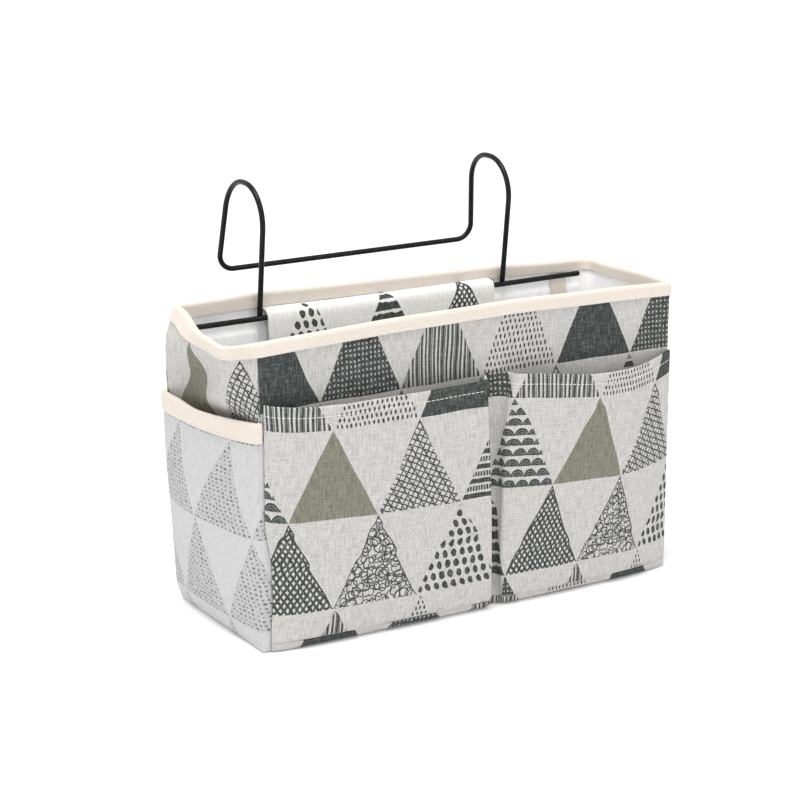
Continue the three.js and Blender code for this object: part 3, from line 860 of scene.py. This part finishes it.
# Front pockets
pocket = {
    "top": 0.150, "hem": 0.012, "hemLayer": 0.0020, "depth": 0.012, "root": 0.0022, "seam": 0.0082, "seamGap": 0.0002,
    "stitchDrop": 0.0065, "softness": 0.0014, "crumple": 0.00035, "spacing": 0.0024,
    "swell": [(0, 0.66), (0.04, 0.74), (0.12, 0.82), (0.28, 0.89), (0.6, 0.96), (1, 1)],
    # heights and swell of the cloth that is tucked under, and of the crease below the belly
    "tuck": [(0.0006, 0.02), (0.0006, 0.2), (0.0008, 0.36), (0.0016, 0.47), (0.0032, 0.535), (0.0054, 0.55),
             (0.0059, 0.555)],
    "crease": [(0.0060, 0.635), (0.0064, 0.655)],
}
leftPocket = {
    "from": [(0, -0.1413), (0.015, -0.1408), (0.032, -0.1397), (0.055, -0.1399), (0.066, -0.1420),
             (0.075, -0.1437), (0.15, -0.1430)],
    "to": [(0, pocket["seam"] - pocket["seamGap"])],
    "fold": [(0, 0.0068), (0.028, 0.0064), (0.064, 0.0056), (0.100, 0.0039), (0.138, 0.0019), (0.151, 0.0010)],
    "plan": [(0, 0), (0.03, 0.36), (0.12, 0.62), (0.36, 0.86), (0.68, 0.97), (1, 1)],
    "topLine": [(-0.145, 0.1545), (-0.125, 0.151), (-0.10, 0.1496), (-0.05, 0.1498), (-0.02, 0.1502),
                (0.0, 0.1506), (0.015, 0.149)],
    "columns": (72, 10),
    "printFrom": -0.1033, "printUp": 0.0135, "printPitch": [(0, 0.0577)], "printAcross": [(0, 0.0080)],
    "printRise": ([(0, 0.0038), (0.035, 0.0038), (0.10, 0.0047), (0.15, 0)],
                  [(0, 0.0012), (0.035, 0.0012), (0.10, -0.0020), (0.125, -0.0014), (0.145, 0.0014)]),
    "slip": [(0, 0)], "tuckPrint": (-0.113, -0.015), "pleat": [(0, 0)],
}
rightPocket = {
    "from": [(0, pocket["seam"] + pocket["seamGap"])], "to": [(0, halfWidth)],
    "fold": [(0, 0.0185), (0.02, 0.0160), (0.031, 0.0152), (0.059, 0.0157), (0.09, 0.0166), (0.112, 0.0174),
             (0.134, 0.0200), (0.143, 0.0232), (0.151, 0.0228)],
    # the gusset between the seam and the fold: shares of the way across and of the depth
    "turn": [(0, 0), (0.60, 0.09), (0.90, 0.36)],
    "plan": [(0, 0.72), (0.05, 0.90), (0.14, 0.97), (0.30, 1), (0.65, 0.95), (0.88, 0.55), (1, 0)],
    "topLine": [(0.015, 0.1512), (0.04, 0.149), (0.08, 0.1425), (0.114, 0.142), (0.145, 0.1475)],
    "columns": (82,),
    "printFrom": 0.0270, "printUp": 0.0125,
    "printPitch": [(0, 0.0512), (0.023, 0.0516), (0.050, 0.0525), (0.075, 0.0535), (0.131, 0.0622), (0.2, 0.063)],
    "printAcross": [(0.045, -0.0392), (0.085, -0.0450)],
    "printRise": ([(0, 0)], [(0, 0)]),
    "slip": [(0.085, 0), (0.125, 0.0145), (0.145, 0.0175)], "tuckPrint": (0.0625, -0.015),
    "pleat": [(0, 0.0115), (0.05, 0.0130), (0.085, 0.0045), (0.13, 0.0030)],
}


def pocketRow(shape, height, swell, inset):
    # seam to seam in plan, with the fold that lets the pocket open
    foldX = smoothOff(shape["fold"], height, 0.004)
    root, depth = -halfDepth - pocket["root"], pocket["depth"] * swell
    fromX, toX = smoothOff(shape["from"], height, 0.004), readOff(shape["to"], height)
    onLeft = shape is leftPocket
    start, end = (fromX, foldX) if onLeft else (foldX, toX)
    points = [Vector((mix(start, end, along), root - out * depth)) for along, out in shape["plan"]]
    if onLeft:
        face = spread(throughPoints(points), shape["columns"][0], pull=0.35)
        line = face + spread([points[-1], Vector((toX, root))], shape["columns"][1])[1:]
    else:
        turn = [Vector((mix(fromX, foldX, along), root - out * depth)) for along, out in shape["turn"]]
        line = spread(throughPoints(turn + points), shape["columns"][0], pull=0.45)
    return sidestep(line, inset)


def pocketLine(shape, height, swell, inset):
    # the same row in space, under the pocket's own top line
    fromX, toX = readOff(shape["from"], height), readOff(shape["to"], height)
    row = []
    for point in pocketRow(shape, height, swell, inset):
        lift = (smoothOff(shape["topLine"], point.x, 0.01) - pocket["top"]) * ease(0, pocket["top"], height)
        soft = crumple(point.x * 24, height * 15, 7.7) * pocket["softness"]
        soft += crumple(point.x * 80, height * 38, 2.1) * pocket["crumple"]
        firm = ease(0, 0.012, min(point.x - fromX, toX - point.x)) * ease(0, 0.02, height)
        row.append(Vector((point.x, point.y - soft * firm, height + lift)))
    return row


def makeFrontPocket(name, node, shape):
    top, layer = pocket["top"], pocket["hemLayer"]
    swellAt = lambda height: smoothOff(pocket["swell"], height / top, 0.02)
    # height, swell and inset of each row, from the tuck up to the top edge and down inside the hem
    section = [(height, swell, 0) for height, swell in pocket["tuck"] + pocket["crease"]]
    section += [(height, swellAt(height), 0) for height in steps(0.008, top - 0.001, pocket["spacing"])]
    section += [(top - 0.0003, 1, 0.0003), (top, 1, layer / 2), (top - 0.0003, 1, layer - 0.0003)]
    section += [(height, 1, layer) for height in steps(top - 0.001, top - pocket["hem"], -pocket["spacing"])]
    width = lengthsAlong(pocketRow(shape, top / 2, 1, 0))[-1]
    rows = [pocketLine(shape, *place) for place in section]
    flatUp = distancesAlong([(height, inset, swell * pocket["depth"]) for height, swell, inset in section])
    firstOpen = len(pocket["tuck"])
    flatUp = [up - flatUp[firstOpen] + section[firstOpen][0] + shape["printUp"] for up in flatUp]
    flatRows = []
    for index, (row, up) in enumerate(zip(rows, flatUp)):
        height, lengths = section[index][0], lengthsAlong(row)
        start = lengths[min(range(len(row)), key=lambda place: abs(row[place].x - shape["printFrom"]))]
        stretch = printLook["pitch"] / readOff(shape["printPitch"], height)
        across = readOff(shape["printAcross"], height)
        tuckAcross, tuckUp = shape["tuckPrint"] if index < firstOpen else (0, 0)
        riseLeft, riseRight = [smoothOff(table, height, 0.01) for table in shape["printRise"]]
        foldX, pleat = smoothOff(shape["fold"], height, 0.004), smoothOff(shape["pleat"], height, 0.008)
        flatRow = []
        for point, length in zip(row, lengths):
            slip = smoothOff(shape["slip"], point.x, 0.008) * mix(0.3, 1, ease(0.035, 0.13, height))
            slip -= pleat * (1 - ease(foldX - 0.0014, foldX - 0.0002, point.x))
            rise = mix(riseLeft, riseRight, clamp((point.x + halfWidth) / halfWidth))
            flatRow.append(((length - start) * stretch + across + slip + tuckAcross, up - rise + tuckUp))
        flatRows.append(flatRow)
    cloth = makeCloth(name, rows, flatRows, bag["canvas"], [printedCanvas, canvasReverse])
    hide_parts(node)


makeFrontPocket("left_pocket_cloth", "front_pocket_left", leftPocket)
makeFrontPocket("right_pocket_cloth", "front_pocket_right", rightPocket)
print("front pockets are made")

# Left side pocket
sidePocket = {
    "top": 0.1410, "bindingWidth": 0.0122, "depth": 0.009, "rootLow": 0.0013, "rootHigh": 0.0025,
    "plan": [(0, 0), (0.2, 0.62), (0.5, 1), (0.8, 0.8), (1, 0.1)],
    "swell": [(0, 0.0), (0.04, 0.34), (0.1, 0.56), (0.28, 0.82), (0.6, 0.95), (1, 1)], "swellTop": 0.127,
    "topLine": [(-halfDepth, 0.1430), (-0.035, 0.1417), (0.0, 0.1416), (0.02, 0.1410), (halfDepth, 0.1386)],
    "columns": 66, "printAt": (-0.0090, 0.0214), "stitchRise": 0.0013, "printLean": 0.013,
    "wrapUnder": 0.0016, "wrapDepth": 0.0011, "tapeOuter": 0.0012, "tapeInner": 0.0022,
}


def sidePocketRow(height, swell, inset, wraps):
    root = mix(sidePocket["rootLow"], sidePocket["rootHigh"], clamp(height / sidePocket["swellTop"]))
    points = []
    for along, out in sidePocket["plan"]:
        bow = smoothOff(bag["bow"], height, 0.006)
        bow = bow * max(0, 1 - along * bag["depth"] / (bag["depth"] - bag["leftFold"]))
        points.append(Vector((-halfWidth - bow - root - out * sidePocket["depth"] * swell,
                              halfDepth - along * bag["depth"])))
    # round the front corner, where the cloth runs on under the front pocket's edge
    points[-1] += Vector((0.0001, 0.0012))
    wrapY = -halfDepth - sidePocket["wrapDepth"]
    points += [Vector((-halfWidth - root * 0.45, -halfDepth - 0.0007)), Vector((-halfWidth + 0.0008, wrapY))]
    line = throughPoints(points)
    if wraps:
        under = smoothOff(leftPocket["from"], height, 0.004) + sidePocket["wrapUnder"]
        line += spread([points[-1], Vector((under, wrapY))], 6)[1:]
    return sidestep(spread(line, sidePocket["columns"], pull=0.5), inset)


def sidePocketLine(height, swell, inset, wraps):
    row = []
    for point in sidePocketRow(height, swell, inset, wraps):
        lift = smoothOff(sidePocket["topLine"], point.y, 0.01) - sidePocket["top"]
        lift = lift * ease(0.02, sidePocket["top"], height)
        row.append(drape(Vector((point.x, point.y, height + lift))))
    return row


def sidePocketCloth(name, section, thickness, materials, wraps):
    rows = [sidePocketLine(height, swell, inset, wraps) for height, swell, inset in section]
    flatUp = distancesAlong([(height, inset) for height, _, inset in section])
    width = lengthsAlong(sidePocketRow(0.08, 1, 0, wraps))[-1]
    flatRows = flatten(rows, flatUp, 0, sidePocket["printAt"])
    leans = [sidePocket["printLean"] * ease(0.085, 0.135, place[0]) for place in section]
    flatRows = [[(across - lean, up) for across, up in row] for lean, row in zip(leans, flatRows)]
    return makeCloth(name, rows, flatRows, thickness, materials), width


def makeSidePocket():
    top = sidePocket["top"]
    swellAt = lambda height: smoothOff(sidePocket["swell"], height / sidePocket["swellTop"], 0.02)
    section = [(height, swellAt(height), 0) for height in steps(0.0008, top - 0.0013, 0.0024)]
    cloth, width = sidePocketCloth("side_pocket_cloth", section, bag["canvas"], [canvasReverse], True)
    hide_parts("left_side_pocket")
    folded = overEdge(top, sidePocket["bindingWidth"], sidePocket["tapeOuter"], sidePocket["tapeInner"], 0.0014)
    section = [(height, 1, inset) for height, inset in folded]
    tape, width = sidePocketCloth("side_pocket_tape", section, bag["tape"], [twillTape], False)
    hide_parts("side_pocket_binding")


makeSidePocket()
print("side pocket is made")

# Seam tape and sleeve inside the rear wall
inside = {
    "seamTapeRight": 0.134, "seamTapeWidth": 0.012, "sleeveLeft": -0.0918, "sleeveRight": 0.0725, "sleeveTaper": 0.0045,
    "sleevePrintAt": (-0.0793, 0.0341), "sewnGap": 0.0004,
}
hanger = {"barY": 0.0436, "barZ": 0.177, "wire": 0.00175, "barLength": 0.281}


def stripCloth(name, section, fromX, toX, columns, thickness, materials,
               shift=(0.0, 0.0), taper=0.0, sinks=True):
    # taper takes the left edge in towards the foot of the strip. A strip that doesn't sink stays above its bar.
    rows = []
    for y, z in section:
        left = fromX + taper * ease(section[-1][1] - 0.008, section[0][1], z)
        row = [drape(Vector((mix(left, toX, column / columns), y, z))) for column in range(columns + 1)]
        for point in row:
            point.z = point.z if sinks else max(point.z, z)
        rows.append(row)
    flatUp = lengthsAlong([Vector(place) for place in section])
    middle = (fromX + toX) / 2
    flatRows = [[(point.x - middle + shift[0], up + shift[1]) for point in row] for row, up in zip(rows, flatUp)]
    return makeCloth(name, rows, flatRows, thickness, materials)


def makeInsideStrips():
    lowFace = halfDepth - boardedInset - bag["lining"] - inside["sewnGap"]
    highFace = halfDepth - layerInset - bag["lining"] - inside["sewnGap"]
    faceAt = lambda height: mix(lowFace, highFace, ease(lining["jogBottom"], lining["jogTop"], height))
    tape = bag["tape"]
    section = [(faceAt(height) - tape, height) for height in steps(0.006, 0.1795, 0.004)]
    right = inside["seamTapeRight"]
    strip = stripCloth("seam_tape_strip", section, right - inside["seamTapeWidth"], right, 6, tape, [twillTape])
    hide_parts("rear_seam_tape")
    # the sleeve lies over the bar and falls back to the wall
    front = hanger["barY"] - hanger["wire"] - inside["sewnGap"] - bag["canvas"]
    over = [(faceAt(0.135) - 0.001, 0.135), (faceAt(0.148) - 0.0026, 0.148), (front + 0.0004, 0.162),
            (front - 0.0003, 0.1725), (front, 0.1767), (front + 0.0012, 0.1796), (front + 0.0044, 0.1806),
            (highFace - 0.0012, 0.1811)]
    section = [(place.x, place.y) for place in spread(throughPoints([Vector(place) for place in over], 6), 26)]
    sleeve = stripCloth("sleeve_cloth", section, inside["sleeveLeft"], inside["sleeveRight"], 60, bag["canvas"],
                        [sleevePaintedLightCanvas, canvasReverse], inside["sleevePrintAt"], inside["sleeveTaper"], False)
    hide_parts("hanger_sleeve")


makeInsideStrips()

# Stitches
stitching = {"length": 0.0023, "pitch": 0.0031, "radius": 0.00022, "sink": 0.00022, "proud": 0.00008}


def makeStitch():
    # one stitch along X, its ends drawn in and down
    bpy.ops.object.select_all(action="DESELECT")
    bpy.ops.mesh.primitive_cylinder_add(vertices=6, radius=stitching["radius"], depth=stitching["length"] * 0.7,
                                        rotation=(0, math.pi / 2, 0))
    bpy.ops.object.transform_apply(location=True, rotation=True, scale=True)
    stitch = bpy.context.object
    bpy.ops.object.mode_set(mode="EDIT")
    bpy.ops.mesh.select_mode(type="FACE")
    for side in (-1, 1):
        bpy.ops.mesh.select_all(action="DESELECT")
        bpy.ops.object.mode_set(mode="OBJECT")
        for face in stitch.data.polygons:
            face.select = face.normal.x * side > 0.9
        bpy.ops.object.mode_set(mode="EDIT")
        reach = (side * stitching["length"] * 0.15, 0, -stitching["sink"])
        bpy.ops.mesh.extrude_region_move(TRANSFORM_OT_translate={"value": reach})
        bpy.ops.transform.resize(value=(1, 0.55, 0.55))
    bpy.ops.object.mode_set(mode="OBJECT")
    bpy.ops.object.shade_smooth()
    stitch.data.materials.append(sewingThread)
    return stitch


def waysOut(lower, rowAbove):
    # the way out of a cloth at each point of a row, from the row above it and the next point
    ways = []
    for index, point in enumerate(lower):
        along = lower[min(index + 1, len(lower) - 1)] - lower[max(index - 1, 0)]
        ways.append(along.cross(rowAbove[index] - point).normalized())
    return ways


def sewAlong(name, line, outwards):
    # copies the stitch along a line, each turned to the line and to the cloth it lies on
    pattern = makeStitch()
    count = max(1, round(lengthsAlong(line)[-1] / stitching["pitch"]))
    places = spread(line, 2 * count)
    copies = []
    for index in range(count):
        place = places[2 * index + 1]
        along = (places[2 * index + 2] - places[2 * index]).normalized()
        out = outwards[min(range(len(line)), key=lambda at: (line[at] - place).length)]
        out = (out - along * out.dot(along)).normalized()
        copied = pattern.copy()
        copied.data = pattern.data.copy()
        turn = Matrix((along, out.cross(along), out)).transposed().to_4x4()
        copied.data.transform(Matrix.Translation(place + out * stitching["proud"]) @ turn)
        bpy.context.collection.objects.link(copied)
        copies.append(copied)
    bpy.data.objects.remove(pattern)
    bpy.ops.object.select_all(action="DESELECT")
    for copied in copies:
        copied.select_set(True)
    bpy.context.view_layer.objects.active = copies[0]
    bpy.ops.object.join()
    seam = bpy.context.object
    seam.name = seam.data.name = name
    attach(seam, "bag")


def sewPocket(name, shape):
    height = pocket["top"] - pocket["stitchDrop"]
    row, above = pocketLine(shape, height, 1, 0), pocketLine(shape, height + 0.001, 1, 0)
    ways = waysOut(row, above)
    # the left pocket's row ends at its fold, and the right one's starts beside the seam
    highest = smoothOff(shape["fold"], height, 0.004) - 0.001 if shape is leftPocket else math.inf
    lowest = -math.inf if shape is leftPocket else shape["from"][0][1] + 0.002
    sewn = [(point, way) for point, way in zip(row, ways) if lowest < point.x < highest][1:-1]
    sewAlong(name, [point for point, way in sewn], [way for point, way in sewn])


def sewSeams():
    sewPocket("left_pocket_stitches", leftPocket)
    sewPocket("right_pocket_stitches", rightPocket)
    height = sidePocket["top"] - sidePocket["bindingWidth"] + sidePocket["stitchRise"]
    row, above = [sidePocketLine(level, 1, -sidePocket["tapeOuter"], False) for level in (height, height + 0.001)]
    sewAlong("side_pocket_stitches", row[2:-2], waysOut(row, above)[2:-2])
    height = bag["height"] - binding["width"] + 0.0013
    lines = []
    for level in (height, height + 0.001):
        line = spread(rimLine(level, -binding["outer"]), 390)
        lines.append([drape(Vector((point.x, point.y, level))) for point in line])
    sewAlong("rim_stitches", lines[0], waysOut(lines[0], lines[1]))


sewSeams()
print("seams are sewn")


# Wire hanger
hookShape = {
    "offset": -0.006, "spacing": 0.1772, "footY": 0.04735, "footZ": 0.175, "frontY": 0.0371, "rearY": 0.0861,
    "apexZ": 0.2584, "legY": 0.0951, "legZ": 0.1974, "legSplay": 0.005, "hookRadius": 0.023, "cornerRadius": 0.010,
}


def bentLine(corners, radii, bendSteps=14):
    line = [corners[0]]
    for index, radius in enumerate(radii):
        corner = corners[index + 1]
        back, onward = (corners[index] - corner).normalized(), (corners[index + 2] - corner).normalized()
        turn = math.pi - back.angle(onward)
        enter, leave = corner + back * radius * math.tan(turn / 2), corner + onward * radius * math.tan(turn / 2)
        handle = radius * math.tan(turn / 4) * 4 / 3
        enterHandle, leaveHandle = enter - back * handle, leave - onward * handle
        for step in range(bendSteps + 1):
            t = step / bendSteps
            line.append(enter * (1 - t) ** 3 + enterHandle * 3 * t * (1 - t) ** 2
                        + leaveHandle * 3 * t * t * (1 - t) + leave * t ** 3)
    return line + [corners[-1]]


def makeWire(name, node, line):
    bpy.ops.object.select_all(action="DESELECT")
    bpy.ops.curve.primitive_nurbs_path_add(radius=1)
    wire = bpy.context.object
    wire.name = wire.data.name = name
    wire.data.splines.clear()
    spline = wire.data.splines.new("POLY")
    spline.points.add(len(line) - 1)
    for point, place in zip(spline.points, line):
        point.co = (*place, 1)
    wire.data.bevel_depth = hanger["wire"]
    wire.data.bevel_resolution = 6
    wire.data.use_fill_caps = True
    wire.data.twist_mode = "MINIMUM"
    bpy.ops.object.convert(target="MESH")
    wire = bpy.context.object
    wire.data.materials.append(blackWire)
    weldPoints(turnOut=True)
    bpy.ops.object.shade_smooth_by_angle(angle=math.radians(40))
    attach(wire, "hanger")
    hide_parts(node)


def hookSide(sign):
    x = hookShape["offset"] + sign * hookShape["spacing"] / 2
    return [Vector((x, hookShape["footY"], hookShape["footZ"])), Vector((x, hookShape["frontY"], hookShape["apexZ"])),
            Vector((x, hookShape["rearY"], hookShape["apexZ"])),
            Vector((x + sign * hookShape["legSplay"], hookShape["legY"], hookShape["legZ"]))]


hookRadii = [hookShape["hookRadius"], hookShape["hookRadius"], hookShape["cornerRadius"]]
makeWire("hook_wire_bent", "hook_wire", bentLine(hookSide(-1) + hookSide(1)[::-1], hookRadii + hookRadii[::-1]))
barEnd = hanger["barLength"] / 2
barLine = [Vector((x, hanger["barY"], hanger["barZ"])) for x in steps(-barEnd, barEnd, 0.01)]
makeWire("cross_bar_wire", "cross_bar", barLine)
print("hanger is made")

for node in ("front_board", "rear_board", "base_board"):
    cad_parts[node].data.materials.clear()
    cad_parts[node].data.materials.append(greyboard)
